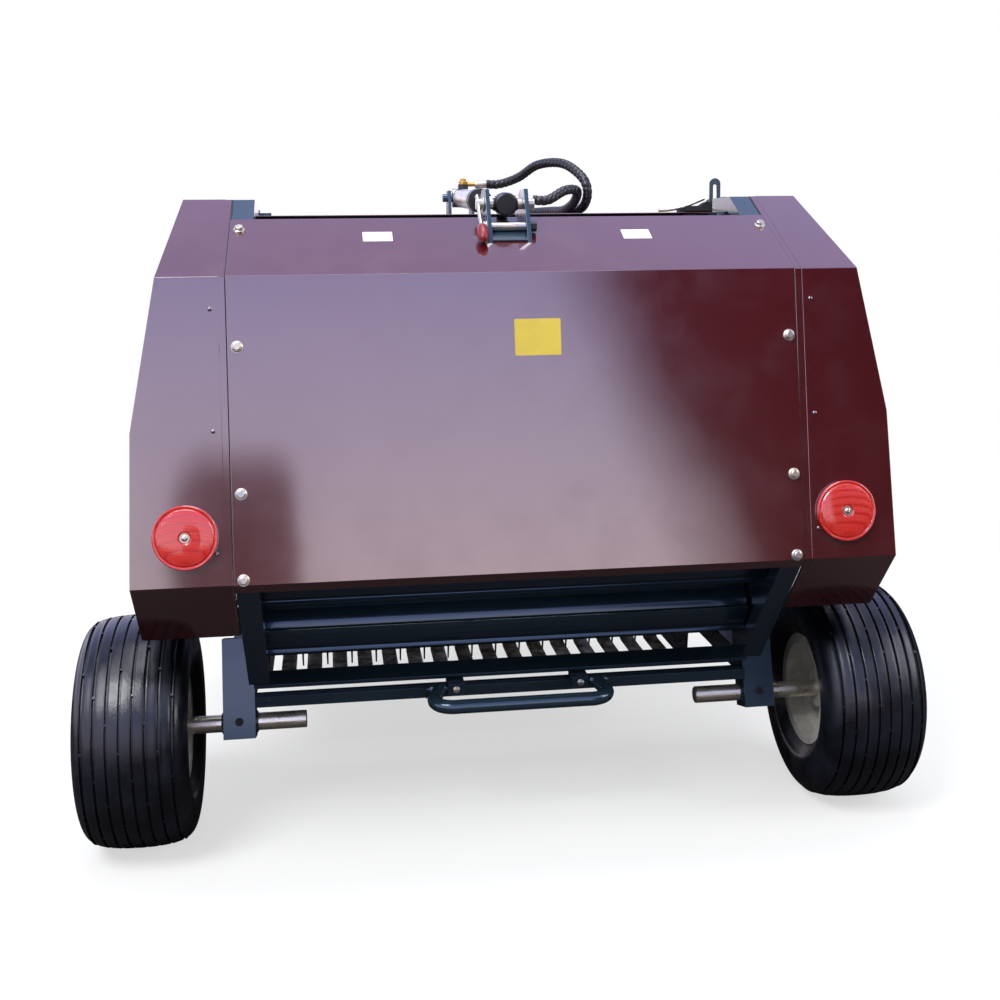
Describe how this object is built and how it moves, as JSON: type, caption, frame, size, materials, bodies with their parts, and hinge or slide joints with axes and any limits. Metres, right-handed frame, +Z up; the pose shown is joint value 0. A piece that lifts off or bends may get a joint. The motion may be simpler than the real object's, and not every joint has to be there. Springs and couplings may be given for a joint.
{
  "type": "towed mini round baler",
  "caption": "Towed round baler with fixed roller chamber, hydraulic tailgate, tined pickup, drawbar and parking jack.",
  "frame": {"origin": "middle of the footprint, on the ground", "axes": "+Z up, +Y towards the drawbar, +X to the machine's right seen from behind"},
  "size_m": [1.682, 1.9584, 1.3896],
  "materials": {
    "band_steel": "worn steel sheet, once painted",
    "black_enamel": "black enamel on steel",
    "blue_grey_enamel": "semi-gloss blue-grey enamel on steel",
    "bright_steel": "turned bright steel",
    "chain_steel": "oiled chain steel",
    "hose_rubber": "black rubber hose in a spiral guard",
    "maroon_enamel": "glossy dark maroon enamel on sheet steel",
    "reflector_red": "red reflector lens",
    "rim_enamel": "off-white enamel on pressed steel",
    "spring_steel": "dark spring steel",
    "tyre_rubber": "black ribbed implement tyre rubber",
    "zinc_plate": "zinc plated steel"
  },
  "bodies": {
    "frame": {"axle_arm_left": "blue_grey_enamel", "axle_arm_right": "blue_grey_enamel", "cylinder_bracket": "blue_grey_enamel", "drawbar": "blue_grey_enamel", "front_beam": "blue_grey_enamel", "front_chain": "chain_steel", "front_cross_tube": "blue_grey_enamel", "front_hood": "maroon_enamel", "front_wall_left": "blue_grey_enamel", "front_wall_right": "blue_grey_enamel", "gearbox": "blue_grey_enamel", "hose_coupler_lift": "zinc_plate", "hose_coupler_lower": "zinc_plate", "hose_lift": "hose_rubber", "hose_lower": "hose_rubber", "jack_tube": "blue_grey_enamel", "pickup_bands": "band_steel", "rear_angle_beam": "blue_grey_enamel", "rear_box_beam": "blue_grey_enamel", "stub_axle_left": "bright_steel", "stub_axle_right": "bright_steel", "twine_box": "maroon_enamel"},
    "tailgate": {"gate_wall_left": "blue_grey_enamel", "gate_wall_right": "blue_grey_enamel", "gate_frame_left": "blue_grey_enamel", "gate_frame_right": "blue_grey_enamel", "gate_panel": "maroon_enamel", "gate_cover_left": "maroon_enamel", "gate_cover_right": "maroon_enamel", "reflector_left": "reflector_red", "reflector_right": "reflector_red", "cylinder_ears": "blue_grey_enamel", "gate_chain": "chain_steel"},
    "cylinder_barrel": {"cylinder_barrel": "black_enamel"},
    "cylinder_rod": {"cylinder_rod": "black_enamel"},
    "wheel_left": {"tyre_left": "tyre_rubber", "rim_left": "rim_enamel"},
    "wheel_right": {"tyre_right": "tyre_rubber", "rim_right": "rim_enamel"},
    "side_door_left": {"side_door_left": "maroon_enamel"},
    "side_door_right": {"side_door_right": "maroon_enamel"},
    "jack_leg": {"jack_leg": "zinc_plate"},
    "pto_shaft": {"pto_shaft": "bright_steel"},
    "pickup_reel": {"pickup_reel": "spring_steel"},
    "rear_bar": {"rear_bar": "blue_grey_enamel"},
    "crop_guard": {"crop_guard": "blue_grey_enamel"},
    "twine_lid": {"twine_lid": "maroon_enamel"},
    "gate_roller_1": {"gate_roller_1": "blue_grey_enamel"},
    "gate_roller_2": {"gate_roller_2": "blue_grey_enamel"},
    "gate_roller_3": {"gate_roller_3": "blue_grey_enamel"},
    "gate_roller_4": {"gate_roller_4": "blue_grey_enamel"},
    "gate_roller_5": {"gate_roller_5": "blue_grey_enamel"},
    "gate_roller_6": {"gate_roller_6": "blue_grey_enamel"},
    "front_roller_1": {"front_roller_1": "blue_grey_enamel"},
    "front_roller_2": {"front_roller_2": "blue_grey_enamel"},
    "front_roller_3": {"front_roller_3": "blue_grey_enamel"},
    "front_roller_4": {"front_roller_4": "blue_grey_enamel"},
    "front_roller_5": {"front_roller_5": "blue_grey_enamel"},
    "front_roller_6": {"front_roller_6": "blue_grey_enamel"}
  },
  "joints": [
    {"name": "wheel_left_spin", "type": "hinge", "parent": "frame", "child": "wheel_left", "pos_m": [-0.735, -0.636, 0.2285], "axis": [1, 0, 0], "continuous": true},
    {"name": "wheel_right_spin", "type": "hinge", "parent": "frame", "child": "wheel_right", "pos_m": [0.735, -0.636, 0.2285], "axis": [1, 0, 0], "continuous": true},
    {"name": "tailgate_hinge", "type": "hinge", "parent": "frame", "child": "tailgate", "pos_m": [0, -0.471, 1.235], "axis": [-1, 0, 0], "range_deg": [0, 65]},
    {"name": "cylinder_pivot", "type": "hinge", "parent": "frame", "child": "cylinder_barrel", "pos_m": [0, 0.089, 1.305], "axis": [-1, 0, 0], "range_deg": [0, 17.74]},
    {"name": "rod_slide", "type": "slide", "parent": "cylinder_barrel", "child": "cylinder_rod", "axis": [0, 0.9986, 0.053], "range_m": [0, 0.1485]},
    {"name": "front_roller_1_spin", "type": "hinge", "parent": "frame", "child": "front_roller_1", "pos_m": [0, -0.38814, 1.18275], "axis": [1, 0, 0], "continuous": true},
    {"name": "front_roller_2_spin", "type": "hinge", "parent": "frame", "child": "front_roller_2", "pos_m": [0, -0.2077, 1.11885], "axis": [1, 0, 0], "continuous": true},
    {"name": "front_roller_3_spin", "type": "hinge", "parent": "frame", "child": "front_roller_3", "pos_m": [0, -0.07593, 0.98], "axis": [1, 0, 0], "continuous": true},
    {"name": "front_roller_4_spin", "type": "hinge", "parent": "frame", "child": "front_roller_4", "pos_m": [0, -0.02156, 0.79646], "axis": [1, 0, 0], "continuous": true},
    {"name": "front_roller_5_spin", "type": "hinge", "parent": "frame", "child": "front_roller_5", "pos_m": [0, -0.05645, 0.60824], "axis": [1, 0, 0], "continuous": true},
    {"name": "front_roller_6_spin", "type": "hinge", "parent": "frame", "child": "front_roller_6", "pos_m": [0, -0.44531, 0.36525], "axis": [1, 0, 0], "continuous": true},
    {"name": "gate_roller_1_spin", "type": "hinge", "parent": "tailgate", "child": "gate_roller_1", "pos_m": [0, -0.56448, 1.16266], "axis": [1, 0, 0], "continuous": true},
    {"name": "gate_roller_2_spin", "type": "hinge", "parent": "tailgate", "child": "gate_roller_2", "pos_m": [0, -0.71581, 1.06993], "axis": [1, 0, 0], "continuous": true},
    {"name": "gate_roller_3_spin", "type": "hinge", "parent": "tailgate", "child": "gate_roller_3", "pos_m": [0, -0.81377, 0.92193], "axis": [1, 0, 0], "continuous": true},
    {"name": "gate_roller_4_spin", "type": "hinge", "parent": "tailgate", "child": "gate_roller_4", "pos_m": [0, -0.84, 0.7464], "axis": [1, 0, 0], "continuous": true},
    {"name": "gate_roller_5_spin", "type": "hinge", "parent": "tailgate", "child": "gate_roller_5", "pos_m": [0, -0.78785, 0.57311], "axis": [1, 0, 0], "continuous": true},
    {"name": "gate_roller_6_spin", "type": "hinge", "parent": "tailgate", "child": "gate_roller_6", "pos_m": [0, -0.66617, 0.43915], "axis": [1, 0, 0], "continuous": true},
    {"name": "pickup_reel_spin", "type": "hinge", "parent": "frame", "child": "pickup_reel", "pos_m": [0, -0.071, 0.3], "axis": [1, 0, 0], "continuous": true},
    {"name": "pto_spin", "type": "hinge", "parent": "frame", "child": "pto_shaft", "pos_m": [0, 0.419, 0.5403], "axis": [0, 1, 0], "continuous": true},
    {"name": "jack_slide", "type": "slide", "parent": "frame", "child": "jack_leg", "axis": [0, 0, 1], "range_m": [0, 0.24]},
    {"name": "side_door_left_hinge", "type": "hinge", "parent": "frame", "child": "side_door_left", "pos_m": [-0.676, 0.225, 0.87], "axis": [0, 0, -1], "range_deg": [0, 110]},
    {"name": "side_door_right_hinge", "type": "hinge", "parent": "frame", "child": "side_door_right", "pos_m": [0.676, 0.225, 0.87], "axis": [0, 0, 1], "range_deg": [0, 110]},
    {"name": "rear_bar_hinge", "type": "hinge", "parent": "frame", "child": "rear_bar", "pos_m": [0.02, -0.697, 0.2975], "axis": [1, 0, 0], "range_deg": [-30, 75]},
    {"name": "crop_guard_hinge", "type": "hinge", "parent": "frame", "child": "crop_guard", "pos_m": [0, 0.149, 0.56], "axis": [-1, 0, 0], "range_deg": [-10, 40]},
    {"name": "twine_lid_hinge", "type": "hinge", "parent": "frame", "child": "twine_lid", "pos_m": [0.35, 0.2313, 0.7428], "axis": [1, 0, 0], "range_deg": [0, 90]}
  ],
  "couplings": [
    {"joint": "cylinder_pivot", "follows": "tailgate_hinge", "ratio": 0.27262},
    {"joint": "rod_slide", "follows": "tailgate_hinge", "m_per_rad": 0.13074},
    {"joint": "front_roller_2_spin", "follows": "front_roller_1_spin", "ratio": 1},
    {"joint": "front_roller_3_spin", "follows": "front_roller_1_spin", "ratio": 1},
    {"joint": "front_roller_4_spin", "follows": "front_roller_1_spin", "ratio": 1},
    {"joint": "front_roller_5_spin", "follows": "front_roller_1_spin", "ratio": 1},
    {"joint": "front_roller_6_spin", "follows": "front_roller_1_spin", "ratio": 1},
    {"joint": "gate_roller_1_spin", "follows": "front_roller_1_spin", "ratio": 1},
    {"joint": "gate_roller_2_spin", "follows": "front_roller_1_spin", "ratio": 1},
    {"joint": "gate_roller_3_spin", "follows": "front_roller_1_spin", "ratio": 1},
    {"joint": "gate_roller_4_spin", "follows": "front_roller_1_spin", "ratio": 1},
    {"joint": "gate_roller_5_spin", "follows": "front_roller_1_spin", "ratio": 1},
    {"joint": "gate_roller_6_spin", "follows": "front_roller_1_spin", "ratio": 1},
    {"joint": "pickup_reel_spin", "follows": "front_roller_1_spin", "ratio": 0.7},
    {"joint": "pto_spin", "follows": "front_roller_1_spin", "ratio": 3}
  ]
}
